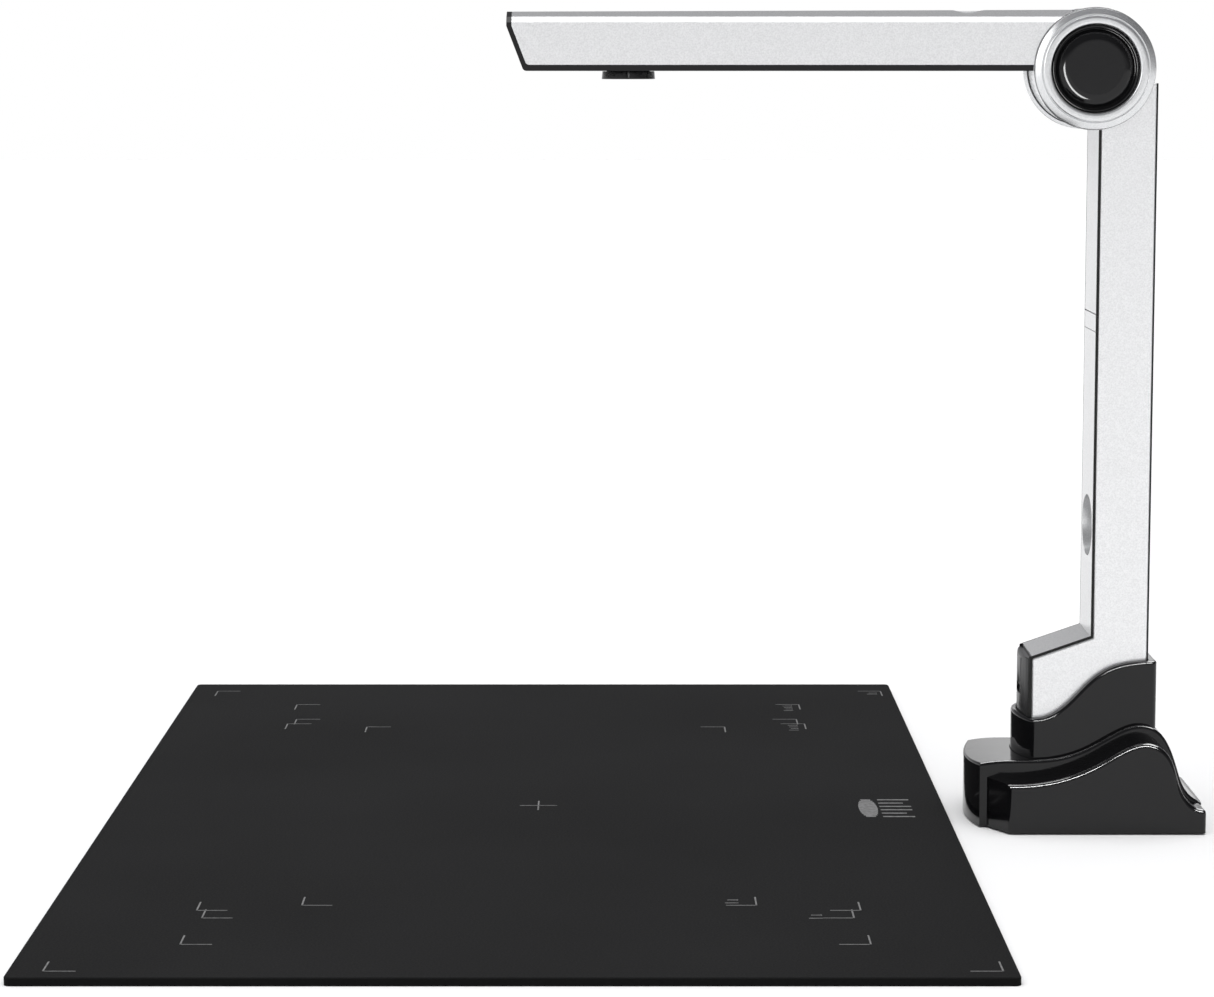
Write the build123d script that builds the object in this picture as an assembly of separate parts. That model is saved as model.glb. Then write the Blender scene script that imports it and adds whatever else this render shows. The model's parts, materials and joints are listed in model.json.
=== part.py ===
from build123d import *
import math
import os

# Desktop document camera with a loose alignment mat. Millimetres, +Z up.
# The origin is the centre of the base pad's underside. The arm reaches towards -X, and -Y is the front.
# Every piece is a solid of its own, written to parts/NAME.step.

# ---------------------------------------------------------------- driving dimensions
hinge_z = 270.1            # height of the hinge axis, which runs along Y
half_depth = 13.0          # half the depth of the arm and of the post

# hinge, from the axis outwards
ring_r = 21.5              # outside of the ring caps
dome_r = 15.3              # black centre caps
ear_r = 20.4               # the post's two ears
barrel_r = 20.2            # the arm's knuckle between the ears
barrel_half = 9.7          # half the knuckle's width
ear_inner = 10.1           # inner faces of the ears
pin_r = 3.0
bush_r = 5.0
running_gap = 0.05         # radial clearance of the turning fits
swing_gap = 0.6            # clear space between the ears' rims and the turning arm

# arm
arm_reach = 206.4          # hinge axis to the top of the tip
arm_drop = 0.8             # underside below the hinge axis
arm_top_tip = 20.0         # top above the hinge axis, at the tip
arm_top_hinge = 20.7       # and at the hinge
tip_upright = 5.1          # upright part of the tip before it slants back
tip_slant = 6.0            # how far the slant runs back
bevel = 2.0                # bevel along the arm's upper edges
bevel_z = 16.1             # its lower edge above the hinge axis
roof_rise = 2.6            # rise of the sloping strip above the bevel
roof_run = 7.5             # and how far it runs in
lower_cover = 2.1          # thickness of the black underside
tip_cover = 1.8            # thickness of the black tip
shell_wall = 1.6

# camera head
lens_x = -163.5
focus_r = 9.5              # outside of the focus ring
focus_proud = 2.9          # how far the ring stands below the arm
focus_sleeve_r = 7.6
lens_r = 5.6
led_offset = 20.0          # the two lights, before and behind the lens
button_x = -43.5
button_r = 6.2
button_gap = 0.3

# post
post_left = 1.9
post_right = 22.5
post_bottom = 16.0
post_top = 265.0
foot_left = -22.3          # the foot's face is bowed, and this is its middle
foot_bow_r = 35.0
foot_corner_z = 68.2       # where the foot's top meets the post's inner face
foot_slope = 0.349         # fall of the foot's top towards its face
cover_depth = 1.8          # thickness of the front and rear covers
seam_inner = 0.8           # black seam left of a cover
seam_outer = 0.4           # and right of it
frame_wall = 3.2
trim_depth = 1.4
trim_half = 12.2
trim_top = 248.8           # just clear of the turning knuckle
trim_seam_upper = 183.6
trim_seam_lower = 177.3
recess_r = 11.0            # round recess that takes the focus ring
recess_depth = 3.2
jack_z = 47.3

# base
base_bottom = 0.6          # lower edge of the mouldings
body_half = 19.5           # half the depth of the middle body
base_half = 30.0           # half the depth over the cheeks
base_right = 41.2
body_left = -41.3          # middle of the bowed left end
body_bow_r = 59.3
cheek_left = -28.6         # at the cheek's outer face
cheek_slant_x = -35.4      # where its slanted end meets the body
toe_r = 1.6                # upright corners at the right end
base_wall = 2.2
pad_depth = 1.2
plate_top = 3.0

# collar round the post's foot
collar_half = 16.5
collar_left = -24.5
collar_bow_r = 28.8
collar_right = 25.3
collar_floor = 13.0
socket_gap = 0.3

# alignment mat
mat_right = -48.3
mat_width = 301.6
mat_front = -207.4
mat_back = 221.3
mat_depth = 2.7


# ---------------------------------------------------------------- helpers
def block(x0, x1, y0, y1, z0, z1):
    return Pos((x0 + x1) / 2, (y0 + y1) / 2, (z0 + z1) / 2) * Box(x1 - x0, y1 - y0, z1 - z0)


def across(radius, y0, y1, x=0.0, z=hinge_z):
    """A cylinder along Y, by default on the hinge axis."""
    return Pos(x, (y0 + y1) / 2, z) * Rot(90, 0, 0) * Cylinder(radius, y1 - y0)


def upright(radius, z0, z1, x, y=0.0):
    """A cylinder along Z."""
    return Pos(x, y, (z0 + z1) / 2) * Cylinder(radius, z1 - z0)


def side_slab(outline, y0, y1):
    """Extrudes an outline drawn in the XZ plane from y0 to y1."""
    return Pos(0, y1, 0) * extrude(Plane.XZ * outline, amount=y1 - y0)


def plan_slab(outline, z0, z1):
    """Extrudes an outline drawn in the XY plane from z0 to z1."""
    return Pos(0, 0, z0) * extrude(outline, amount=z1 - z0)


def polygon(*points):
    return make_face(Polyline(*points, close=True))


def under_curve(curve, floor_z):
    """The face between a curve, from left to right, and a level floor."""
    start, end = curve @ 0, curve @ 1
    rest = Polyline((end.X, end.Y), (end.X, floor_z), (start.X, floor_z), (start.X, start.Y))
    return make_face(curve + rest)


def bowed_plan(apex_x, bow_r, half, right):
    """A plan outline that is straight but for its bowed left end."""
    sag = bow_r - math.sqrt(bow_r ** 2 - half ** 2)
    corner = apex_x + sag
    bow = ThreePointArc((corner, half), (apex_x, 0), (corner, -half))
    rest = Polyline((corner, -half), (right, -half), (right, half), (corner, half))
    return make_face(bow + rest)


def turned(points, corner_r, front=True):
    """A turned piece on the hinge axis, from (radius, distance from the mid-plane) points.
    Its corners are rounded, but for those on the axis."""
    side = -1 if front else 1
    outline = make_face(Polyline(*[(r, side * y) for r, y in points], close=True))
    corners = [v for v in outline.vertices() if v.X > 0.1]
    return Pos(0, 0, hinge_z) * revolve(fillet(corners, corner_r), Axis.Y)


def round_edges(solid, edges, *radii):
    """Rounds the edges with the first of the radii that the solid takes."""
    for radius in radii:
        try:
            rounded = fillet(edges, radius)
        except (ValueError, RuntimeError):
            continue
        if rounded.is_valid:
            return rounded
    return solid


def write(name, shape):
    shape.label = name
    export_step(shape, os.path.join("parts", name + ".step"))


# ---------------------------------------------------------------- base
body_top = Spline((-42.5, 22.0), (-28, 24.4), (-12, 24.9), (-1, 28.0), (12, 35.0), (18.5, 37.0),
                  (25, 35.3), (29.5, 29.5), (32.6, 21.0), (35.5, 13.8), (base_right, 9.4))
cheek_top = Spline((-36, 18.6), (-22, 18.2), (-11, 19.9), (3, 25.5), (12.5, 30.9), (20, 32.8),
                   (26, 30.2), (29.8, 23.8), (32.2, 16.0), (35.2, 11.4), (base_right, 9.1))
collar_top = Spline((-25.5, 40.2), (-19.5, 38.8), (-14.5, 39.2), (-8, 42.8), (1, 51.8),
                    (9, 57.2), (17, 59.2), (26, 60.0))


def cheek_plan(side):
    return polygon((cheek_slant_x, side * (body_half - 0.5)), (cheek_slant_x, side * body_half),
                   (cheek_left, side * base_half), (base_right, side * base_half),
                   (base_right, side * (body_half - 0.5)))


def base_plan():
    return bowed_plan(body_left, body_bow_r, body_half, base_right) + cheek_plan(1) + cheek_plan(-1)


def hollow_under(curve, y0, y1):
    """The room inside a moulding: its top curve moved in by about the wall, down to below the base."""
    return side_slab(under_curve(Pos(-0.7 * base_wall, -base_wall) * curve, -20), y0, y1)


def plate_plan(gap):
    return offset(base_plan(), -gap, kind=Kind.INTERSECTION)


def make_base_body():
    plan = bowed_plan(body_left, body_bow_r, body_half, base_right)
    outer = side_slab(under_curve(body_top, base_bottom), -body_half, body_half)
    outer &= plan_slab(plan, base_bottom, 60)
    rim = [e for e in outer.edges() if e.center().Z > 12 and e.length > 30]
    outer = round_edges(outer, rim, 1.1, 0.9)
    inner_plan = bowed_plan(body_left + base_wall, body_bow_r - base_wall, body_half - base_wall,
                            base_right - base_wall)
    outer -= hollow_under(body_top, -body_half, body_half) & plan_slab(inner_plan, -1, 60)
    outer -= plan_slab(plate_plan(base_wall + 0.1), -1, plate_top)
    return outer - collar_block(0.25)


def make_cheek(side):
    plan = polygon((cheek_slant_x, side * body_half), (cheek_left, side * base_half),
                   (base_right, side * base_half), (base_right, side * body_half))
    y0, y1 = sorted((side * body_half, side * base_half))
    face_y = side * base_half
    toe = plan.vertices().filter_by_position(Axis.X, base_right - 0.01, base_right + 0.01)
    toe = toe.sort_by(lambda v: abs(v.Y - face_y))[0]
    outer = side_slab(under_curve(cheek_top, base_bottom), y0, y1)
    outer &= plan_slab(fillet(toe, toe_r), base_bottom, 60)
    rim = outer.edges().filter_by_position(Axis.Y, face_y - 0.01, face_y + 0.01)
    rim = [e for e in rim if e.center().Z > base_bottom + 0.5]
    outer = round_edges(outer, rim, 1.7, 1.4, 1.1)
    inner_plan = offset(plan, -base_wall, kind=Kind.INTERSECTION)
    outer -= hollow_under(cheek_top, y0, y1) & plan_slab(inner_plan, -1, 60)
    return outer - plan_slab(plate_plan(base_wall + 0.1), -1, plate_top)


def collar_block(gap):
    plan = bowed_plan(collar_left - gap, collar_bow_r + gap, collar_half + gap, collar_right + gap)
    return plan_slab(fillet(plan.vertices(), 2.5 + gap), collar_floor - 1, 62)


def make_collar():
    outer = side_slab(under_curve(collar_top, collar_floor), -collar_half, collar_half)
    outer = outer & (collar_block(0) & block(-60, 60, -60, 60, collar_floor, 62))
    rim = [e for e in outer.edges() if e.center().Z > 37 and e.bounding_box().size.Z < 30
           and e.bounding_box().min.Z > 37]
    outer = round_edges(outer, rim, 1.1, 0.9, 0.6)
    inner = bowed_plan(foot_left - socket_gap, foot_bow_r + socket_gap, half_depth + socket_gap,
                       post_right + socket_gap)
    return outer - plan_slab(inner, post_bottom, 70)


def make_base():
    write("base_body", make_base_body())
    write("front_cheek", make_cheek(-1))
    write("rear_cheek", make_cheek(1))
    write("socket_collar", make_collar())
    plate = plan_slab(plate_plan(base_wall + 0.2), pad_depth, plate_top)
    pad = plan_slab(plate_plan(base_wall + 1.5), 0, pad_depth)
    spots = [(sx, sy) for sx in (-28.0, 34.0) for sy in (-13.5, 13.5)]
    screws = []
    for x, y in spots:
        screw = upright(2.4, pad_depth, pad_depth + 1.2, x, y) + upright(1.2, pad_depth, 7.5, x, y)
        plate -= screw
        screws.append(screw)
    ballast = block(-33, 30, -body_half + base_wall + 0.4, body_half - base_wall - 0.4,
                    plate_top + 0.2, collar_floor - 0.2)
    ballast -= Compound(children=[upright(3.0, 0, 14, x, y) for x, y in spots])
    write("base_ballast", ballast)
    write("base_bottom_plate", plate)
    write("base_pad", pad)
    write("base_screws", Compound(children=screws))


# ---------------------------------------------------------------- post
def foot_top(x):
    """Height of the foot's sloping top at x."""
    return foot_corner_z + foot_slope * (x - post_left)


def post_outline(inset, right_inset, foot_x, corner_r):
    """The post with its foot, seen from the front, drawn in by an inset on its inner side."""
    left = post_left + inset
    fall = inset * math.sqrt(1 + foot_slope ** 2)
    face = polygon((post_right - right_inset, post_bottom), (post_right - right_inset, post_top),
                   (left, post_top), (left, foot_top(left) - fall), (foot_x, foot_top(foot_x) - fall),
                   (foot_x, post_bottom))
    top_left = face.vertices().sort_by(Axis.X)[:2].sort_by(Axis.Y)[-1]
    return fillet(top_left, corner_r)


def post_block():
    bowed = bowed_plan(foot_left, foot_bow_r, half_depth, post_right)
    solid = side_slab(post_outline(0, 0, foot_left, 3.5), -half_depth, half_depth)
    return solid & plan_slab(bowed, post_bottom, post_top)


def make_cover(side):
    """A cover plate with a small bevel round its face, cut to the ring cap at its top."""
    outer_y = side * half_depth
    inner_y = side * (half_depth - cover_depth)
    outline = post_outline(seam_inner, seam_outer, foot_left + 3.3, 1.2)
    cover = side_slab(outline, min(outer_y, inner_y), max(outer_y, inner_y))
    edges = cover.edges().filter_by_position(Axis.Y, outer_y - 0.01, outer_y + 0.01)
    cover = chamfer(edges, 0.5)
    return cover - across(ear_r + swing_gap, -20, 20)


def trim_skin():
    """The post's inner skin: its outline less the same outline drawn in by the trim's thickness."""
    solid = side_slab(post_outline(0, 0, foot_left, 3.5), -trim_half, trim_half)
    core = side_slab(post_outline(trim_depth, 0, foot_left, 2.1), -half_depth, half_depth)
    return (solid - core) & block(-40, post_left + trim_depth, -20, 20, 30, trim_top)


def lens_recess(radius, depth):
    return Pos(post_left + depth / 2, 0, hinge_z + lens_x) * Rot(0, 90, 0) * Cylinder(radius, depth)


def foot_skin():
    return post_block() & block(-30, foot_left + 3.2, -trim_half, trim_half, post_bottom, 60.0)


def make_post():
    skin = trim_skin()
    foot_face = foot_skin()
    pocket = post_outline(seam_inner, seam_outer, foot_left + 3.3, 1.2)
    pockets = Compound(children=[side_slab(pocket, -half_depth, -half_depth + cover_depth),
                                 side_slab(pocket, half_depth - cover_depth, half_depth)])
    skin -= pockets
    upper = skin & block(-40, 30, -20, 20, trim_seam_upper, 300)
    bridge = skin & block(-40, 30, -20, 20, trim_seam_lower, trim_seam_upper - 0.25)
    lower = skin & block(foot_left + 3.4, 30, -20, 20, 30, trim_seam_lower - 0.15)
    cup = lens_recess(recess_r + 0.9, recess_depth + 1.0) - pockets
    dish = lens_recess(recess_r, recess_depth)
    lower = lower + cup - dish

    chassis = post_block() & block(-60, 60, -half_depth + 0.2, half_depth - 0.2, 0, 300)
    hollow = post_outline(frame_wall, frame_wall, foot_left + 6.0, 1.5)
    hollow &= polygon((-60, 19), (60, 19), (60, 246), (-60, 246))
    chassis -= side_slab(hollow, -half_depth, half_depth)
    chassis -= pockets
    chassis -= skin
    chassis -= foot_face
    chassis -= cup
    chassis -= across(barrel_r + 0.5, -ear_inner, ear_inner)
    for side in (-1, 1):
        y0, y1 = sorted((side * ear_inner, side * (half_depth - 0.2)))
        ear = across(ear_r, y0, y1) + block(post_left + 1.5, ear_r, y0, y1, 248, hinge_z)
        chassis += ear - (pockets - across(ear_r + swing_gap, -20, 20))
    chassis -= across(pin_r, -half_depth, half_depth)

    jack_mouth = block(-30, -10, -3.9, 3.9, jack_z - 1.6, jack_z + 1.6)
    foot_face -= jack_mouth
    jack = block(foot_left + 3.4, foot_left + 13, -3.6, 3.6, jack_z - 1.4, jack_z + 1.4)
    jack -= block(-30, foot_left + 11.5, -3.2, 3.2, jack_z - 1.0, jack_z + 1.0)
    chassis -= block(-30, foot_left + 14, -3.9, 3.9, jack_z - 1.6, jack_z + 1.6)

    board = block(post_left + 4.2, post_right - 4.2, -1.0, 0.6, 24, 236)
    board += block(foot_left + 13.2, post_right - 4.2, -1.0, 0.6, 40, 56)
    board -= lens_recess(recess_r + 1.5, recess_depth + 1.5)

    rear = make_cover(1)
    screws = []
    for z in (60.0, 150.0, 238.0):
        screw = across(2.3, half_depth - 1.2, half_depth - 0.1, 12.2, z)
        screw += across(1.1, half_depth - 7.0, half_depth - 1.2, 12.2, z)
        boss = across(2.6, half_depth - 9.0, half_depth - cover_depth, 12.2, z)
        arm = block(12.2, post_right - frame_wall + 0.2, half_depth - 9.0, half_depth - cover_depth,
                    z - 1.5, z + 1.5)
        chassis += boss + arm
        chassis -= across(1.1, 0, 20, 12.2, z)
        rear -= across(2.35, half_depth - 1.2, 20, 12.2, z) + across(1.15, 0, 20, 12.2, z)
        screws.append(screw)

    write("post_chassis", chassis)
    write("post_front_cover", make_cover(-1))
    write("post_rear_cover", rear)
    write("inner_trim_upper", upper)
    write("trim_bridge", bridge)
    write("inner_trim_lower", lower)
    write("foot_cover", foot_face)
    write("usb_jack", jack)
    write("main_board", board)
    write("post_screws", Compound(children=screws))


# ---------------------------------------------------------------- hinge
def make_hinge():
    ring = [(dome_r + 0.15, half_depth), (ring_r, half_depth), (ring_r, half_depth + 1.6),
            (19.0, half_depth + 2.9), (18.6, half_depth + 2.6), (18.1, half_depth + 3.4),
            (17.0, half_depth + 3.6), (15.9, half_depth + 3.2), (dome_r + 0.15, half_depth + 2.2)]
    dome = [(0, half_depth + 1.9), (12.4, half_depth + 1.2), (13.2, half_depth + 0.3),
            (dome_r, half_depth + 0.3), (dome_r, half_depth + 2.2), (14.5, half_depth + 2.2),
            (14.1, half_depth + 1.4), (13.3, half_depth + 2.3), (11.6, half_depth + 3.0),
            (9.2, half_depth + 3.4), (0, half_depth + 3.5)]
    for name, front in (("front", True), ("rear", False)):
        write(name + "_ring_cap", turned(ring, 0.18, front))
        write(name + "_dome", turned(dome, 0.18, front))
        side = -1 if front else 1
        y0, y1 = sorted((side * (barrel_half + 0.04), side * (ear_inner - 0.04)))
        write(name + "_friction_washer", across(14.0, y0, y1) - across(pin_r + 0.2, -20, 20))
        y0, y1 = sorted((side * (barrel_half - 5.0), side * barrel_half))
        write(name + "_bush", across(bush_r, y0, y1) - across(pin_r + running_gap, -20, 20))

    ear_outer = half_depth - 0.2
    pin = across(pin_r, -ear_outer, ear_outer) + across(4.6, -ear_outer - 0.9, -ear_outer)
    pin += across(2.0, ear_outer, ear_outer + 1.6)
    write("hinge_pin", pin)
    write("spring_washer", across(4.8, ear_outer, ear_outer + 0.4) - across(2.05, 0, 20))
    nut = side_slab(RegularPolygon(3.6, 6), ear_outer + 0.4, ear_outer + 1.5)
    write("hinge_nut", Pos(0, 0, hinge_z) * nut - across(2.0, 0, 20))

    barrel = across(barrel_r, -barrel_half, barrel_half) - across(barrel_r - 2.4, -7.4, 7.4)
    barrel += across(bush_r + 2.2, -barrel_half, barrel_half)
    barrel += block(-barrel_r + 1.0, barrel_r - 1.0, -1.2, 1.2, hinge_z - 1.2, hinge_z + 1.2)
    barrel += block(-35, -barrel_r + 1.5, -8.0, 8.0, hinge_z + 4.0, hinge_z + 15.0)
    barrel -= block(-50, -17.0, -5.5, 5.5, hinge_z + 6.0, hinge_z + 13.0)
    barrel -= across(bush_r, -20, 20)
    write("hinge_barrel", barrel)


# ---------------------------------------------------------------- arm
def arm_top_z(x):
    """Height of the arm's top, which climbs a little from the tip to the hinge."""
    return hinge_z + arm_top_hinge + (arm_top_hinge - arm_top_tip) * x / arm_reach


def arm_side(shift, floor_z):
    """The arm seen from the front, with its tip moved in and its underside at floor_z."""
    tip = -arm_reach + shift
    top = arm_top_z(tip)
    slope = tip_slant / (arm_top_tip + arm_drop - tip_upright)
    knee = hinge_z + arm_top_tip - tip_upright
    toe_x = tip + slope * (knee - floor_z)
    face = polygon((tip, top), (tip, knee), (toe_x, floor_z), (5, floor_z), (5, arm_top_z(5)))
    toe = face.vertices().sort_by(Axis.Y)[:2].sort_by(Axis.X)[0]
    return fillet(toe, 1.5)


def arm_section(inset):
    """The arm's cross-section: upright sides, a bevel and a low roof."""
    half = half_depth - inset
    step = inset * 0.6
    z_bevel = hinge_z + bevel_z - step
    z_roof = z_bevel + bevel
    crown = (half - bevel - roof_run, z_roof + roof_rise)
    right = [(half, hinge_z - 5), (half, z_bevel), (half - bevel, z_roof), crown]
    left = [(-y, z) for y, z in reversed(right)]
    face = Plane.YZ * polygon(*(right + left))
    return Pos(-arm_reach - 5, 0, 0) * extrude(face, amount=arm_reach + 15)


def arm_end(gap):
    """What the hinge takes out of the arm's end: round the ears, and round the knuckle between them."""
    sides = Compound(children=[across(ear_r + swing_gap, ear_inner - 0.2, 20),
                               across(ear_r + swing_gap, -20, -ear_inner + 0.2)])
    middle = across(barrel_r + gap, -ear_inner, ear_inner)
    return sides, middle, block(-7, 40, -20, 20, hinge_z - 30, hinge_z + 30)


def make_arm():
    floor_z = hinge_z - arm_drop
    split_z = floor_z + lower_cover
    section = arm_section(0)
    whole = side_slab(arm_side(0, floor_z), -half_depth, half_depth) & section
    upper = side_slab(arm_side(tip_cover, split_z), -half_depth, half_depth) & section
    under = whole - upper
    cavity = side_slab(arm_side(tip_cover + shell_wall, split_z - 6), -half_depth + shell_wall,
                       half_depth - shell_wall)
    cavity &= arm_section(shell_wall) & block(-300, 10, -20, 20, 0, hinge_z + arm_top_tip - shell_wall)
    shell = upper - cavity
    for cut in arm_end(0.1):
        shell -= cut
        under -= cut

    button_hole = upright(button_r + button_gap, hinge_z + 12, hinge_z + 30, button_x)
    shell -= button_hole
    under -= upright(focus_sleeve_r + running_gap, floor_z - 5, split_z + 5, lens_x)
    leds, led_holes = [], []
    for x in (lens_x - led_offset, lens_x + led_offset):
        leds.append(upright(2.4, split_z + 1.0, split_z + 4.4, x))
        led_holes.append(upright(3.6, floor_z - 1, split_z + 1, x))
    window = Compound(children=[upright(3.5, floor_z + 0.2, split_z - 0.2, x)
                                for x in (lens_x - led_offset, lens_x + led_offset)])
    for hole in led_holes:
        under -= hole

    screws = []
    for x, y in ((-193.0, 0.0), (-120.0, 8.0), (-120.0, -8.0), (-60.0, 8.0), (-60.0, -8.0)):
        screw = upright(1.9, floor_z + 0.1, floor_z + 1.2, x, y)
        screw += upright(0.9, floor_z + 1.2, floor_z + 7.0, x, y)
        under -= upright(1.95, floor_z - 1, floor_z + 1.2, x, y)
        under -= upright(0.95, floor_z, floor_z + 6, x, y)
        boss = upright(2.2, split_z, hinge_z + 19.0, x, y) & arm_section(shell_wall / 2)
        shell += boss - upright(0.9, 0, floor_z + 7.0, x, y)
        screws.append(screw)

    write("arm_shell", shell)
    write("arm_lower_cover", under)
    write("arm_screws", Compound(children=screws))
    write("leds", Compound(children=leds))
    write("led_window", window)
    board_z = floor_z + 8.6
    led_board = block(lens_x - led_offset - 4, lens_x + led_offset + 4, -5, 5, split_z + 4.4, split_z + 5.4)
    led_board -= upright(focus_sleeve_r + 1.0, 0, 400, lens_x)
    write("led_board", led_board)
    camera_board = block(-188, -126, -10, 10, board_z + 1.4, board_z + 3.0)
    write("camera_board", camera_board)
    write("image_sensor", block(lens_x - 5, lens_x + 5, -5, 5, board_z - 0.4, board_z + 1.4))
    write("flex_cable", block(-126, -46, -4, 4, board_z + 1.6, board_z + 1.9))

    ring_low = floor_z - focus_proud
    ring_face = make_face(Polyline((lens_r + 0.05, ring_low + 0.8), (focus_r - 1.2, ring_low),
                                   (focus_r, ring_low), (focus_r - 0.25, floor_z - 0.1),
                                   (focus_sleeve_r, floor_z - 0.1), (focus_sleeve_r, floor_z + 5.2),
                                   (lens_r + 0.05, floor_z + 5.2), close=True))
    ring = Pos(lens_x, 0, 0) * revolve(Plane.XZ * ring_face, Axis.Z)
    ring -= block(lens_x - 0.35, lens_x + 0.35, -focus_r - 1, -focus_r + 0.5, ring_low - 1, floor_z)
    write("focus_ring", ring)
    barrel = upright(lens_r, ring_low + 1.2, board_z - 0.7, lens_x)
    glass = upright(3.6, ring_low + 0.9, ring_low + 2.6, lens_x)
    barrel -= upright(3.6, ring_low, ring_low + 2.6, lens_x)
    write("lens_barrel", barrel)
    write("lens_glass", glass)

    button_top = hinge_z + arm_top_tip + 0.35
    button = upright(button_r, hinge_z + 14.6, button_top, button_x)
    button += upright(button_r + 1.2, hinge_z + 14.0, hinge_z + 15.0, button_x)
    dish_r = 34.0
    button -= Pos(button_x, 0, button_top + dish_r - 0.7) * Sphere(dish_r)
    write("light_button", button)


# ---------------------------------------------------------------- mat
def make_mat():
    mat = block(mat_right - mat_width, mat_right, mat_front, mat_back, 0, mat_depth)
    mat = fillet(mat.edges().filter_by(Axis.Z), 2.0)
    top = mat.edges().filter_by_position(Axis.Z, mat_depth - 0.01, mat_depth + 0.01)
    write("desk_mat", round_edges(mat, top, 0.5))


os.makedirs("parts", exist_ok=True)
make_base()
make_post()
make_hinge()
make_arm()
make_mat()
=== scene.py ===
import json
import math

import bmesh
import bpy
from mathutils import Matrix, Vector


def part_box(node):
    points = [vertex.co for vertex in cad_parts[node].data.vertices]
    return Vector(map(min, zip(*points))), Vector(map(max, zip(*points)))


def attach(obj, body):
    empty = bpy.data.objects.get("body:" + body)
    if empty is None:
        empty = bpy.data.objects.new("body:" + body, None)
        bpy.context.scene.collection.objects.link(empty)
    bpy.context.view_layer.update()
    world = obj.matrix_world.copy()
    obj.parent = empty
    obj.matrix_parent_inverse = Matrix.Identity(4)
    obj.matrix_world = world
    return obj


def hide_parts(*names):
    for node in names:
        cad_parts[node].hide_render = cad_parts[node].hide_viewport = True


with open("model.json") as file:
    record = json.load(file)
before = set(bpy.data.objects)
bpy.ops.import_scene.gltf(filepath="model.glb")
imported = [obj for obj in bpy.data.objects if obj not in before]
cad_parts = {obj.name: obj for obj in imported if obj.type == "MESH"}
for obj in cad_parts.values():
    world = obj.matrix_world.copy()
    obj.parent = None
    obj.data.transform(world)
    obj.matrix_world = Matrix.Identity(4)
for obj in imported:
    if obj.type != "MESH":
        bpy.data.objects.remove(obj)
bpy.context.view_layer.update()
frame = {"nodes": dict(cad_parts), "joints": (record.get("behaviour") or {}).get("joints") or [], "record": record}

# Document camera on its weighted base, with the alignment mat beside it.
# The shared frame has -Y as the front and -X as the way the arm reaches.
# Pieces are made in millimetres and written in metres.
MM = 0.001
joints = {joint["name"]: joint for joint in frame["joints"]}

HINGE_Z = joints["arm_fold"]["pos_m"][2] / MM
HINGE = (0, 0, HINGE_Z * MM)

# ---------------------------------------------------------------- camera
CAMERA_PLACE = (-0.1711, -1.0784, 0.2698)
CAMERA_PITCH = 5.81        # degrees below level
SENSOR_WIDTH = 36.0        # millimetres
LENS = 89.6145             # millimetres
LENS_SHIFT = -0.1000824    # of the picture's width: the optical axis passes above the picture's centre


def make_camera():
    data = bpy.data.cameras.new("camera")
    data.sensor_width = SENSOR_WIDTH
    data.lens = LENS
    data.shift_y = LENS_SHIFT
    camera = bpy.data.objects.new("camera", data)
    camera.location = CAMERA_PLACE
    camera.rotation_euler = (math.radians(90 - CAMERA_PITCH), 0, 0)
    bpy.context.scene.collection.objects.link(camera)
    bpy.context.scene.camera = camera


# ---------------------------------------------------------------- studio
def area_light(name, place, target, size, power, along=(1, 0, 0), only=None):
    """A rectangular softbox seen in reflections alone, with its long side laid along a direction.
    It can be kept to a collection of pieces."""
    data = bpy.data.lights.new(name, "AREA")
    data.shape = "RECTANGLE"
    data.size, data.size_y = size
    data.energy = power
    light = bpy.data.objects.new(name, data)
    away = (Vector(place) - Vector(target)).normalized()
    long_side = Vector(along)
    long_side = (long_side - away * long_side.dot(away)).normalized()
    turn = Matrix((long_side, away.cross(long_side), away)).transposed()
    light.matrix_world = Matrix.LocRotScale(Vector(place), turn.to_quaternion(), None)
    light.visible_camera = False
    light.visible_diffuse = False
    if only:
        light.light_linking.receiver_collection = only
    bpy.context.scene.collection.objects.link(light)


def make_world():
    """White round the horizon under a grey ceiling, darker to the right. The camera sees it plain white."""
    world = bpy.data.worlds.new("studio")
    bpy.context.scene.world = world
    world.use_nodes = True
    nodes, links = world.node_tree.nodes, world.node_tree.links
    background = nodes["Background"]
    coordinates = nodes.new("ShaderNodeTexCoord")
    split = nodes.new("ShaderNodeSeparateXYZ")
    links.new(coordinates.outputs["Generated"], split.inputs[0])
    ceiling = nodes.new("ShaderNodeValToRGB")
    ceiling.color_ramp.interpolation = "EASE"
    ceiling.color_ramp.elements[0].position = 0.06
    ceiling.color_ramp.elements[0].color = (0.80, 0.80, 0.81, 1)
    ceiling.color_ramp.elements[1].position = 0.42
    ceiling.color_ramp.elements[1].color = (0.22, 0.22, 0.23, 1)
    links.new(split.outputs["Z"], ceiling.inputs[0])
    side = nodes.new("ShaderNodeMapRange")
    side.inputs["From Min"].default_value = 0.3
    side.inputs["From Max"].default_value = 0.95
    side.inputs["To Min"].default_value = 1.0
    side.inputs["To Max"].default_value = 0.35
    links.new(split.outputs["X"], side.inputs["Value"])
    surround = nodes.new("ShaderNodeVectorMath")
    surround.operation = "SCALE"
    links.new(ceiling.outputs["Color"], surround.inputs[0])
    links.new(side.outputs["Result"], surround.inputs["Scale"])
    backdrop = nodes.new("ShaderNodeBackground")
    backdrop.inputs["Color"].default_value = (1, 1, 1, 1)
    seen = nodes.new("ShaderNodeLightPath")
    choose = nodes.new("ShaderNodeMixShader")
    links.new(surround.outputs[0], background.inputs["Color"])
    links.new(seen.outputs["Is Camera Ray"], choose.inputs[0])
    links.new(background.outputs[0], choose.inputs[1])
    links.new(backdrop.outputs[0], choose.inputs[2])
    links.new(choose.outputs[0], nodes["World Output"].inputs["Surface"])


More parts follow.
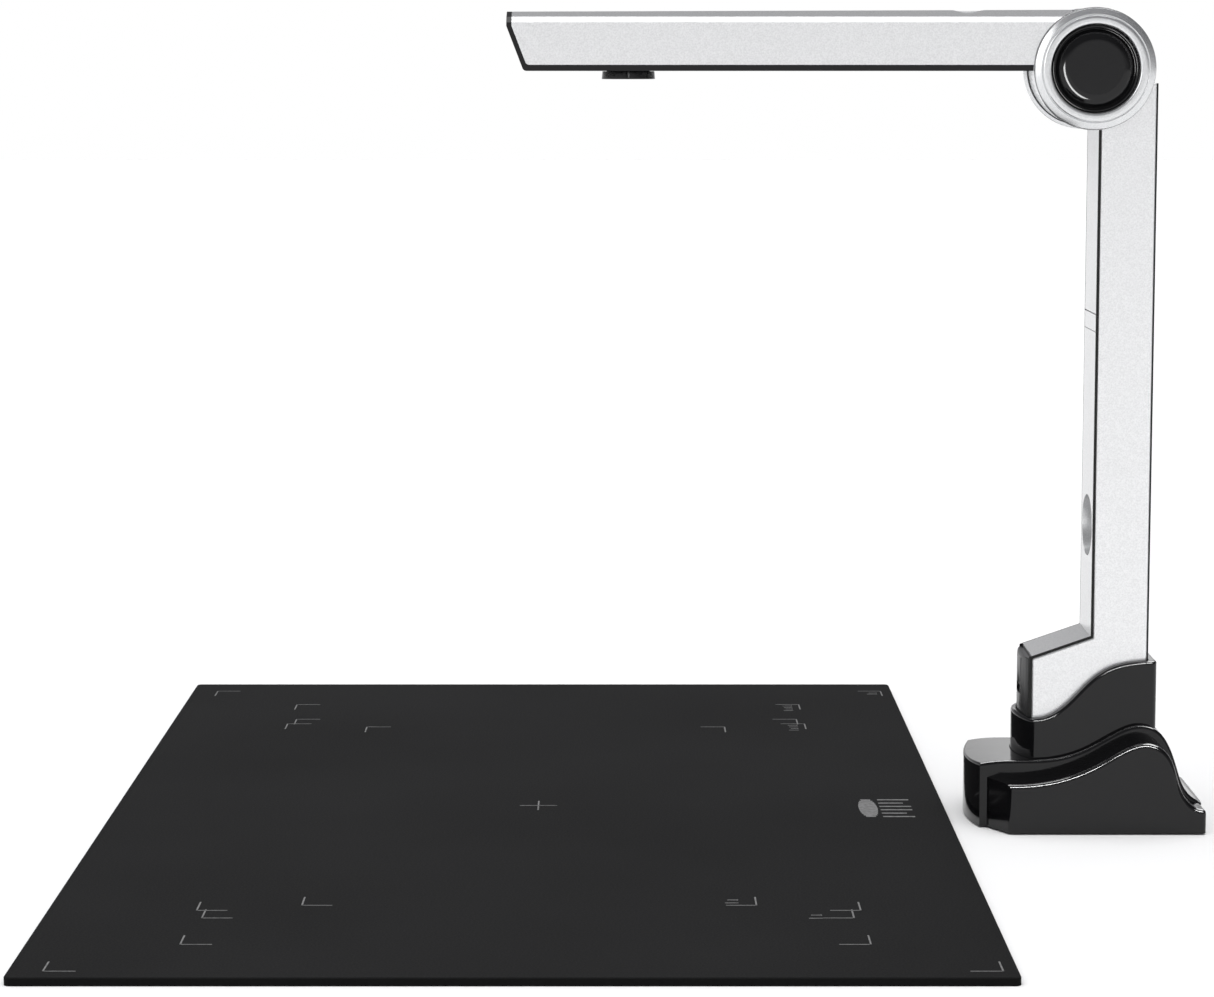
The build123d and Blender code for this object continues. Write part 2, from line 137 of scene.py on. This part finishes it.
def make_floor():
    """A plain matt white floor, far wider than any view."""
    half = 8.0
    mesh = bpy.data.meshes.new("floor")
    mesh.from_pydata([(-half, -half, 0), (half, -half, 0), (half, half, 0), (-half, half, 0)], [],
                     [(0, 1, 2, 3)])
    floor = bpy.data.objects.new("floor", mesh)
    bpy.context.scene.collection.objects.link(floor)
    material = bpy.data.materials.new("floor_white")
    material.use_nodes = True
    shader = material.node_tree.nodes["Principled BSDF"]
    shader.inputs["Base Color"].default_value = (0.95, 0.95, 0.95, 1)
    shader.inputs["Roughness"].default_value = 1.0
    shader.inputs["Specular IOR Level"].default_value = 0.0
    mesh.materials.append(material)


def sky_light(name, tilt, turn, spread, strength):
    """A very large soft light far overhead, which lights the whole floor evenly."""
    data = bpy.data.lights.new(name, "SUN")
    data.angle = math.radians(spread)
    data.energy = strength
    light = bpy.data.objects.new(name, data)
    light.rotation_euler = (math.radians(tilt), 0, math.radians(turn))
    light.visible_glossy = False
    bpy.context.scene.collection.objects.link(light)


def receivers(name, *pieces):
    """A collection of the pieces that a softbox is meant for."""
    group = bpy.data.collections.new(name)
    for piece in pieces:
        group.objects.link(bpy.data.objects[piece])
    return group


def make_studio():
    """Even light from above, and softboxes that draw the highlights. Metres and watts."""
    bpy.context.scene.view_settings.view_transform = "Standard"
    make_world()
    make_floor()
    sky_light("overhead_fill", tilt=8, turn=0, spread=100, strength=2.85)
    area_light("overhead_box", (-0.15, 0.10, 1.9), (-0.15, 0.0, 0.2), (2.2, 0.36), 7.5)

    foot = (0, 0, 0.05)
    rims = receivers("rims", "front_cheek", "rear_cheek", "socket_collar")
    mouldings = receivers("mouldings", "base_body", "front_cheek", "rear_cheek", "socket_collar")
    area_light("edge_box", (0.40, 0.65, 1.7), foot, (1.8, 1.6), 150, only=mouldings)
    area_light("edge_strip", (0.3, -1.75, 1.75), foot, (2.6, 0.3), 230, only=rims)
    area_light("back_box", (0.55, 3.0, 0.85), (0, 0, 0.03), (2.4, 0.5), 3.4, only=mouldings)

    caps = receivers("caps", "front_cap", "rear_cap")
    ring_faces = receivers("ring_faces", "front_ring", "front_ring_flange", "rear_ring", "rear_ring_flange")
    area_light("low_strip", (-0.14, -0.33, 0.155), HINGE, (0.38, 0.09), 2.6, (0.26, 0.115, -0.23), only=caps)
    area_light("ring_box", (-1.15, -1.0, 0.85), HINGE, (0.8, 1.2), 6.5, only=ring_faces)


# ---------------------------------------------------------------- materials
def new_material(name, color, roughness, metallic=0.0, specular=0.5, coat=0.0):
    """A material with the values that are the same all over it."""
    material = bpy.data.materials.new(name)
    material.use_nodes = True
    shader = material.node_tree.nodes["Principled BSDF"]
    shader.inputs["Base Color"].default_value = (*color, 1)
    shader.inputs["Roughness"].default_value = roughness
    shader.inputs["Metallic"].default_value = metallic
    shader.inputs["Specular IOR Level"].default_value = specular
    shader.inputs["Coat Weight"].default_value = coat
    shader.inputs["Coat Roughness"].default_value = 0.08
    return material


def noise(material, scale, detail=2.0, stretch=(1, 1, 1)):
    """A noise in the piece's own coordinates, with its scale in waves per metre."""
    nodes, links = material.node_tree.nodes, material.node_tree.links
    place = nodes.new("ShaderNodeTexCoord")
    mapping = nodes.new("ShaderNodeMapping")
    mapping.inputs["Scale"].default_value = stretch
    texture = nodes.new("ShaderNodeTexNoise")
    texture.inputs["Scale"].default_value = scale
    texture.inputs["Detail"].default_value = detail
    links.new(place.outputs["Object"], mapping.inputs["Vector"])
    links.new(mapping.outputs["Vector"], texture.inputs["Vector"])
    return texture.outputs["Fac"]


def vary(material, source, socket, low, high, start=0.3, end=0.7):
    """Lets a noise move one of the shader's values between low and high."""
    nodes, links = material.node_tree.nodes, material.node_tree.links
    spread = nodes.new("ShaderNodeMapRange")
    spread.inputs["From Min"].default_value = start
    spread.inputs["From Max"].default_value = end
    spread.inputs["To Min"].default_value = low
    spread.inputs["To Max"].default_value = high
    links.new(source, spread.inputs["Value"])
    links.new(spread.outputs["Result"], nodes["Principled BSDF"].inputs[socket])


def tint(material, source, dark, light, start=0.3, end=0.7):
    """Lets a noise move the base colour between two colours."""
    nodes, links = material.node_tree.nodes, material.node_tree.links
    ramp = nodes.new("ShaderNodeValToRGB")
    ramp.color_ramp.elements[0].position = start
    ramp.color_ramp.elements[0].color = (*dark, 1)
    ramp.color_ramp.elements[1].position = end
    ramp.color_ramp.elements[1].color = (*light, 1)
    links.new(source, ramp.inputs[0])
    links.new(ramp.outputs["Color"], nodes["Principled BSDF"].inputs["Base Color"])


def bump(material, source, strength, distance_mm):
    """Lets a noise raise and lower the surface."""
    nodes, links = material.node_tree.nodes, material.node_tree.links
    relief = nodes.new("ShaderNodeBump")
    relief.inputs["Strength"].default_value = strength
    relief.inputs["Distance"].default_value = distance_mm * MM
    links.new(source, relief.inputs["Height"])
    links.new(relief.outputs["Normal"], nodes["Principled BSDF"].inputs["Normal"])


def silver_paint(name, tone):
    """Fine metallic paint: flakes of slightly different tone under a thin clear coat."""
    m = new_material(name, (tone, tone, tone), 0.28, metallic=0.78, specular=0.4, coat=0.05)
    dark, light = tone - 0.10, tone + 0.05
    tint(m, noise(m, 1900, 2.0), (dark, dark + 0.004, dark + 0.008), (light, light + 0.004, light + 0.008))
    return m


def ring_paint():
    """The hinge rings' finish: the same silver, darker and grainier."""
    m = new_material("ring_paint", (0.76, 0.77, 0.78), 0.26, metallic=0.9, specular=0.5, coat=0.05)
    flakes = noise(m, 3000, 1.0)
    tint(m, flakes, (0.70, 0.71, 0.72), (0.82, 0.825, 0.83))
    bump(m, flakes, 0.14, 0.02)
    return m


def black_gloss():
    """Piano-black moulding with a faint orange peel."""
    m = new_material("black_gloss", (0.004, 0.004, 0.0045), 0.09, specular=0.36)
    vary(m, noise(m, 120, 3.0), "Roughness", 0.08, 0.11)
    bump(m, noise(m, 200, 2.0), 0.02, 0.02)
    return m


def black_satin():
    """Fine spark-eroded black plastic of the frame and the plates."""
    m = new_material("black_satin", (0.006, 0.006, 0.006), 0.45, specular=0.35)
    grain = noise(m, 1800, 3.0)
    vary(m, grain, "Roughness", 0.38, 0.55)
    bump(m, grain, 0.25, 0.03)
    return m


def foot_grey():
    """Gunmetal paint of the foot's bowed face."""
    m = new_material("foot_grey", (0.016, 0.016, 0.017), 0.30, metallic=0.1, specular=0.26)
    grain = noise(m, 2400, 1.0)
    tint(m, grain, (0.013, 0.013, 0.014), (0.021, 0.021, 0.022))
    bump(m, grain, 0.06, 0.02)
    return m


def steel():
    """Brushed steel of the screws and the hinge's inner pieces."""
    m = new_material("steel", (0.6, 0.6, 0.61), 0.3, metallic=1.0)
    brushed = noise(m, 900, 2.0, (1, 1, 12))
    vary(m, brushed, "Roughness", 0.22, 0.42)
    bump(m, brushed, 0.1, 0.01)
    return m


def rubber():
    """Dull black rubber of the base pad and the hinge gaskets."""
    m = new_material("rubber", (0.02, 0.02, 0.02), 0.85, specular=0.3)
    grain = noise(m, 1200, 4.0)
    tint(m, grain, (0.014, 0.014, 0.014), (0.028, 0.028, 0.028))
    bump(m, grain, 0.5, 0.05)
    return m


def mat_vinyl():
    """Matte cutting-mat vinyl: fine pebble grain, slightly cloudy over the sheet, with painted shade on its side
    faces.
    """
    m = new_material("mat_vinyl", (0.014, 0.014, 0.0145), 0.8, specular=0.12)
    tint(m, noise(m, 9, 3.0), (0.012, 0.012, 0.0123), (0.0150, 0.0150, 0.0154))
    grain = noise(m, 1500, 2.0)
    vary(m, grain, "Roughness", 0.74, 0.86)
    bump(m, grain, 0.35, 0.03)
    nodes, links = m.node_tree.nodes, m.node_tree.links
    shader = nodes["Principled BSDF"]
    # Painted shade: the colour goes to near-black as the face turns from facing up to facing sideways.
    surface, split = nodes.new("ShaderNodeNewGeometry"), nodes.new("ShaderNodeSeparateXYZ")
    painted_side_shade = nodes.new("ShaderNodeMix")
    painted_side_shade.data_type = "RGBA"
    painted_side_shade.inputs["A"].default_value = (0.004, 0.004, 0.004, 1)
    links.new(surface.outputs["True Normal"], split.inputs[0])
    links.new(split.outputs["Z"], painted_side_shade.inputs["Factor"])
    links.new(shader.inputs["Base Color"].links[0].from_socket, painted_side_shade.inputs["B"])
    links.new(painted_side_shade.outputs["Result"], shader.inputs["Base Color"])
    return m


def mark_ink():
    """Grey printing ink."""
    m = new_material("mark_ink", (0.2, 0.2, 0.2), 0.7, specular=0.3)
    tint(m, noise(m, 700, 3.0), (0.14, 0.14, 0.14), (0.25, 0.25, 0.25))
    return m


def coated_glass():
    """The lens, with a dark blue coating."""
    m = new_material("coated_glass", (0.01, 0.012, 0.03), 0.03, specular=0.9, coat=1.0)
    vary(m, noise(m, 60, 1.0), "Roughness", 0.02, 0.06)
    return m


def frosted_lens():
    """Milky plastic of the work light."""
    m = new_material("frosted_lens", (0.75, 0.75, 0.70), 0.35, specular=0.5)
    ripple = noise(m, 2000, 1.0)
    tint(m, ripple, (0.62, 0.62, 0.57), (0.80, 0.80, 0.75))
    bump(m, ripple, 0.2, 0.03)
    return m


# ---------------------------------------------------------------- mesh helpers
def mesh_piece(name, points, faces, material, body, stands_for=()):
    """A smooth-shaded piece from points in millimetres, riding on a body."""
    mesh = bpy.data.meshes.new(name)
    mesh.from_pydata([tuple(c * MM for c in p) for p in points], [], faces)
    edit = bmesh.new()
    edit.from_mesh(mesh)
    bmesh.ops.recalc_face_normals(edit, faces=edit.faces)
    edit.to_mesh(mesh)
    edit.free()
    mesh.polygons.foreach_set("use_smooth", [True] * len(mesh.polygons))
    mesh.materials.append(material)
    piece = bpy.data.objects.new(name, mesh)
    bpy.context.scene.collection.objects.link(piece)
    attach(piece, body)
    if stands_for:
        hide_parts(*stands_for)
    return piece


def soften(piece, width_mm, segments=3, angle=28):
    """Rounds a piece's hard edges and keeps its flats flat."""
    round_off = piece.modifiers.new("edges", "BEVEL")
    round_off.width = width_mm * MM
    round_off.segments = segments
    round_off.limit_method = "ANGLE"
    round_off.angle_limit = math.radians(angle)
    round_off.harden_normals = True
    round_off.use_clamp_overlap = True


def finish_node(name, material, width_mm=0.0):
    """Gives a CAD node its material. With a width, joins up its flats and rounds its edges too."""
    node = frame["nodes"][name]
    node.data.materials.clear()
    node.data.materials.append(material)
    if width_mm:
        weld = node.modifiers.new("weld", "WELD")
        weld.merge_threshold = 0.001 * MM
        flats = node.modifiers.new("flats", "DECIMATE")
        flats.decimate_type = "DISSOLVE"
        flats.angle_limit = math.radians(0.5)
        soften(node, width_mm)


def turned(profile, centre, axis, side=1.0, steps=128):
    """Points and faces of a piece turned about an axis from (radius, distance along it) points.
    The profile starts and ends on the axis or goes all the way round a ring."""
    points, faces = [], []
    for r, along in profile:
        for k in range(steps):
            a = 2 * math.pi * k / steps
            u, v = r * math.cos(a), r * math.sin(a)
            offset = (u, side * along, v) if axis == "Y" else (u, v, along)
            points.append(tuple(c + o for c, o in zip(centre, offset)))
    for i in range(len(profile) - 1):
        for k in range(steps):
            n = (k + 1) % steps
            faces.append((i * steps + k, i * steps + n, (i + 1) * steps + n, (i + 1) * steps + k))
    return points, faces


def rounded(points, radius, steps=5):
    """An open profile with its inner corners rounded to about the given radius."""
    out = [points[0]]
    for before, corner, after in zip(points, points[1:], points[2:]):
        a, b, c = Vector(before), Vector(corner), Vector(after)
        reach = min(radius, 0.45 * (a - b).length, 0.45 * (c - b).length)
        start, end = b + (a - b).normalized() * reach, b + (c - b).normalized() * reach
        for k in range(steps + 1):
            t = k / steps
            out.append(tuple(start.lerp(b, t).lerp(b.lerp(end, t), t)))
    out.append(points[-1])
    return out


# ---------------------------------------------------------------- hinge
def make_hinge(paint, gloss, seal):
    """On each side: the silver ring with its stepped face, its flange, a dark gasket, and the black cap.
    Each profile is a list of radius and distance from the hinge's middle."""
    centre = (0, 0, HINGE_Z)
    outer_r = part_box("rear_ring_cap")[1][0] / MM
    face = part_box("rear_ring_cap")[0][1] / MM
    inner_r = outer_r - 6.05
    seat_r = inner_r + 1
    gasket_r = outer_r - 0.2
    edge_r = outer_r - 0.3
    flange_top, gasket_top = face + 0.6, face + 0.9
    flange = [(seat_r, face), (outer_r - 0.1, face), (outer_r, face + 0.1), (outer_r, flange_top),
              (seat_r, flange_top), (seat_r, face)]
    gasket = [(seat_r, flange_top), (gasket_r, flange_top), (gasket_r, gasket_top), (seat_r, gasket_top),
              (seat_r, flange_top)]
    ring = [(inner_r, gasket_top), (edge_r, gasket_top), (edge_r, face + 1.7),
            (edge_r - 2.2, face + 2.85), (edge_r - 2.5, face + 2.6), (edge_r - 2.8, face + 3.25),
            (edge_r - 3.6, face + 3.5), (edge_r - 4.8, face + 3.5), (edge_r - 5.4, face + 3.3),
            (inner_r, face + 2.4), (inner_r, gasket_top)]

    flat_r, drop_r = 9.0, 13.8
    cap_top, cap_drop, crown_steps = 3.45, 2.6, 14
    cap = [(0.0, face + cap_top)]
    for k in range(crown_steps + 1):
        t = k / crown_steps
        cap.append((flat_r + (drop_r - flat_r) * t, face + cap_top - cap_drop * t ** 2.6))
    rim = ((14.0, 0.7), (14.25, 2.1), (14.6, 2.45), (15.0, 2.35), (15.25, 1.9), (15.25, 0.4), (0.0, 0.4))
    cap += [(r, face + rise) for r, rise in rim]

    for name, side in (("front", -1), ("rear", 1)):
        points, faces = turned(flange, centre, "Y", side)
        mesh_piece(name + "_ring_flange", points, faces, paint, "post")
        points, faces = turned(gasket, centre, "Y", side)
        mesh_piece(name + "_ring_gasket", points, faces, seal, "post")
        points, faces = turned(rounded(ring, 0.3), centre, "Y", side)
        mesh_piece(name + "_ring", points, faces, paint, "post", [name + "_ring_cap"])
        points, faces = turned(cap, centre, "Y", side)
        mesh_piece(name + "_cap", points, faces, gloss, "post", [name + "_dome"])


def make_focus_tick(ink):
    """The pointer in the focus ring's notch."""
    low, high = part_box("focus_ring")
    x, y, z = (low[0] + high[0]) / 2 / MM, low[1] / MM + 0.25, low[2] / MM
    half_width, depth, bottom, top = 0.32, 0.2, 0.5, 2.3
    points = [(x + side * half_width, y + back, z + rise)
              for back in (0.0, depth) for rise in (bottom, top) for side in (-1, 1)]
    faces = [(0, 1, 3, 2), (4, 6, 7, 5), (0, 4, 5, 1), (2, 3, 7, 6), (0, 2, 6, 4), (1, 5, 7, 3)]
    mesh_piece("focus_tick", points, faces, ink, "focus_ring")


# ---------------------------------------------------------------- mat
# Half width and half depth of the sheets that the corner marks are for, from the cross outwards.
A3, LEGAL, A4, LETTER, SMALL = (143.0, 203.7), (106.0, 176.0), (103.2, 147.0), (106.0, 138.3), (73.0, 132.4)
CROSS_X, CROSS_Y = -196.1, 2.5
CROSS_ARM = 6.5
MARK_LEG = 9.5
MARK_LINE = 0.55
MARK_LIFT = 0.04


def strip(x0, y0, x1, y1, width):
    """A flat mark between two points."""
    along = Vector((x1 - x0, y1 - y0)).normalized() * (width / 2)
    across = Vector((-along.y, along.x))
    start, end = Vector((x0, y0)) - along, Vector((x1, y1)) + along
    return [start + across, start - across, end - across, end + across]


def caption(x, y, length, height):
    """A short printed row that runs away from the viewer and stands for a sheet's name."""
    quads = []
    pitch, stroke, serif = 2.8, 0.6, 0.3
    count = max(2, round(length / pitch))
    for k in range(count):
        at = y + (k + 0.5) * length / count
        inset = (0.0, 0.9, 0.4)[k % 3]
        quads.append(strip(x + inset, at, x + height, at, stroke))
        if k % 2:
            quads.append(strip(x + height, at - stroke, x + height, at + stroke, serif))
    return quads


def pictogram(x, y):
    """A plain sign at the mat's edge: a solid lens beside a sheet's lines."""
    quads = []
    lens_x, lens_half, rows, row_pitch, row_width = x - 4.6, 3.4, 12, 2.17, 2.2
    for k in range(rows):
        across = 13 - row_pitch * (k + 0.5)
        reach = max(0.1, lens_half * math.sqrt(1 - (across / 14) ** 2) - row_width / 2)
        quads.append(strip(lens_x - reach, y + across, lens_x + reach, y + across, row_width))
    lines, line_pitch, line_width = 6, 5.0, 1.5
    for k in range(lines):
        at = y + 12.5 - line_pitch * k
        line_end = (10.5, 8.0, 10.5)[k % 3]
        quads.append(strip(x + 0.5, at, x + line_end, at, line_width))
    return quads


def make_mat_marks(ink):
    """Printed cross, sheet corners, size captions and the pictogram, a hair above the mat's top."""
    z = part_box("desk_mat")[1][2] / MM + MARK_LIFT
    quads = []
    for sign in (-1, 1):
        quads.append(strip(CROSS_X, CROSS_Y, CROSS_X + sign * CROSS_ARM, CROSS_Y, MARK_LINE))
        quads.append(strip(CROSS_X, CROSS_Y, CROSS_X, CROSS_Y + sign * CROSS_ARM, MARK_LINE))
    for half_x, half_y in (A3, LEGAL, A4, LETTER, SMALL):
        for sx in (-1, 1):
            for sy in (-1, 1):
                x, y = CROSS_X + sx * half_x, CROSS_Y + sy * half_y
                quads.append(strip(x, y, x - sx * MARK_LEG, y, MARK_LINE))
                quads.append(strip(x, y, x, y - sy * MARK_LEG, MARK_LINE))
    # Each caption lies by its sheet's right-hand corner, on the far side (1) or the near side (-1).
    captions = ((A3, 1, -6.0, -7.5, 4.5, 3.8), (LEGAL, 1, -6.7, -13.5, 12.0, 3.4),
                (LETTER, 1, -6.7, -13.5, 12.0, 3.4), (A4, -1, -14.0, -2.0, 7.0, 3.8),
                (SMALL, -1, -9.7, 1.0, 7.0, 3.8))
    for sheet, side, shift_x, shift_y, length, height in captions:
        x, y = CROSS_X + sheet[0] + shift_x, CROSS_Y + side * sheet[1] + shift_y
        quads += caption(x, y, length, height)
    quads += pictogram(CROSS_X + 124.5, CROSS_Y - 4.0)
    points, faces = [], []
    for quad in quads:
        faces.append(tuple(range(len(points), len(points) + 4)))
        points += [(p.x, p.y, z) for p in quad]
    mesh_piece("mat_marks", points, faces, ink, "mat")


make_camera()
# The trims take the same silver paint at a darker tone: painted shade for the side of the post.
silver, trim, rings = silver_paint("silver_paint", 0.90), silver_paint("trim_silver_painted_shade", 0.80), ring_paint()
gloss, satin = black_gloss(), black_satin()
foot, metal, pad, vinyl, ink = foot_grey(), steel(), rubber(), mat_vinyl(), mark_ink()
glass, frosted = coated_glass(), frosted_lens()

# The finish for each material slot of the record, and the few nodes with a finish of their own. The trims' darker
# silver is painted shade for the post's side.
FINISHES = {
    "silver_paint": silver, "black_gloss": gloss, "black_frame": satin, "foot_face": foot, "steel": metal,
    "bush_bronze": metal, "friction_pad": satin, "ballast_iron": metal, "pad_rubber": pad,
    "board_green": satin, "lens_glass": glass, "light_lens": frosted, "led_white": frosted,
    "mat_vinyl": vinyl,
}
OWN_FINISH = {"hinge_barrel": rings, "inner_trim_upper": trim, "inner_trim_lower": trim, "trim_bridge": trim}
# How wide the edges of a node are rounded, in millimetres.
EDGES = {
    "arm_shell": 0.3, "arm_lower_cover": 0.35, "post_front_cover": 0.5, "post_rear_cover": 0.5,
    "inner_trim_upper": 0.2, "inner_trim_lower": 0.3, "trim_bridge": 0.15, "foot_cover": 0.25,
    "post_chassis": 0.15, "hinge_barrel": 0.3, "focus_ring": 0.12,
}
for part in frame["record"]["subparts"]:
    node = part["node"]
    finish_node(node, OWN_FINISH.get(node, FINISHES[part["material_slot"]]), EDGES.get(node, 0.0))

make_hinge(rings, gloss, pad)
make_focus_tick(ink)
make_mat_marks(ink)
make_studio()
